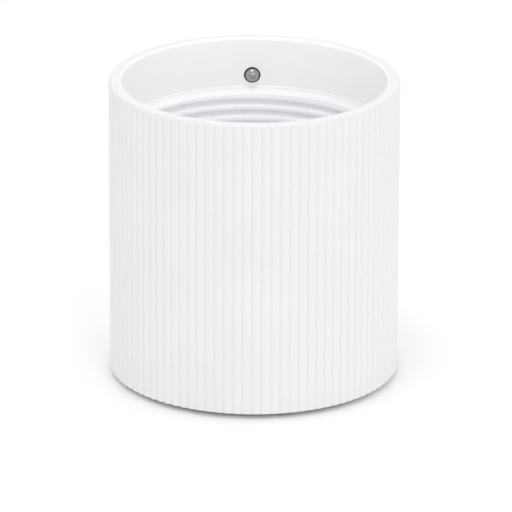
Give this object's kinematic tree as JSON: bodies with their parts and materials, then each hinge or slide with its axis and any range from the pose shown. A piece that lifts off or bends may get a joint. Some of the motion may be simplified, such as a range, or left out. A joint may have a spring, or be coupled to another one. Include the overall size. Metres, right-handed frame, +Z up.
{
  "type": "mesh network node",
  "caption": "Upright reeded cylindrical network node with an open threaded well in its top, a domed button in the well wall, and a rear port bay.",
  "frame": {"origin": "centre of the base, on the surface it stands on", "axes": "+Z up the body's axis, +Y towards the rear ports, -Y the front"},
  "size_m": [0.11, 0.11, 0.1162],
  "materials": {
    "shell_plastic": "satin white moulded shell with vertical reeds",
    "collar_plastic": "smooth white moulded collar",
    "well_plastic": "smooth white moulded thread",
    "bezel_plastic": "fine-grained pale grey panel",
    "base_plastic": "fine-grained pale grey base",
    "frame_plastic": "plain moulded frame",
    "foot_rubber": "soft grey rubber",
    "seal_rubber": "dark silicone",
    "button_metal": "polished steel",
    "screw_steel": "zinc-plated steel",
    "circuit_board": "green solder mask",
    "antenna_board": "black solder mask with copper traces",
    "chip_epoxy": "black moulding compound",
    "shield_metal": "tinned sheet",
    "socket_plastic": "black moulded nylon",
    "contact_gold": "gold flash on copper alloy",
    "pin_metal": "nickel-plated",
    "plunger_plastic": "natural moulded nylon",
    "sink_aluminium": "anodised extrusion",
    "pad_silicone": "soft grey-blue gap filler",
    "flex_film": "amber polyimide",
    "lead_jacket": "thin extruded jacket",
    "light_plastic": "clear moulded light guide"
  },
  "bodies": {
    "housing": {"base_cover": "base_plastic", "base_screws": "screw_steel", "board_screws": "screw_steel", "button_flex": "flex_film", "button_seal": "seal_rubber", "button_switch": "shield_metal", "flex_plug": "socket_plastic", "foot_ring": "foot_rubber", "heat_sink": "sink_aluminium", "heat_sink_screws": "screw_steel", "inner_frame": "frame_plastic", "input_capacitor": "sink_aluminium", "lan_contacts": "contact_gold", "lan_socket_insert": "socket_plastic", "lan_socket_shell": "shield_metal", "left_front_antenna": "antenna_board", "left_front_coax_plug": "contact_gold", "left_front_lead": "lead_jacket", "left_radio_chip": "chip_epoxy", "left_radio_shield": "shield_metal", "left_rear_antenna": "antenna_board", "left_rear_coax_plug": "contact_gold", "left_rear_lead": "lead_jacket", "light_pipe": "light_plastic", "line_transformer": "chip_epoxy", "main_board": "circuit_board", "main_chip": "chip_epoxy", "memory_chip": "chip_epoxy", "outer_sleeve": "shell_plastic", "port_bezel": "bezel_plastic", "power_jack": "socket_plastic", "power_pin": "pin_metal", "reset_switch": "socket_plastic", "right_front_antenna": "antenna_board", "right_front_coax_plug": "contact_gold", "right_front_lead": "lead_jacket", "right_radio_chip": "chip_epoxy", "right_radio_shield": "shield_metal", "right_rear_antenna": "antenna_board", "right_rear_coax_plug": "contact_gold", "right_rear_lead": "lead_jacket", "rim_collar": "collar_plastic", "snap_dome": "pin_metal", "status_emitter": "light_plastic", "thermal_pad": "pad_silicone", "threaded_ring": "well_plastic", "wan_contacts": "contact_gold", "wan_socket_insert": "socket_plastic", "wan_socket_shell": "shield_metal", "well_floor": "well_plastic", "well_screws": "screw_steel"},
    "pairing_button_cap": {"pairing_button": "button_metal"},
    "reset_button": {"reset_plunger": "plunger_plastic"}
  },
  "joints": [
    {"name": "pairing_press", "type": "slide", "parent": "housing", "child": "pairing_button_cap", "axis": [0, 1, 0], "range_m": [0, 0.0005], "stiffness_N_per_m": 1500, "springref_m": -0.0006},
    {"name": "reset_press", "type": "slide", "parent": "housing", "child": "reset_button", "axis": [0, -1, 0], "range_m": [0, 0.00025], "stiffness_N_per_m": 1500, "springref_m": -0.0003}
  ]
}
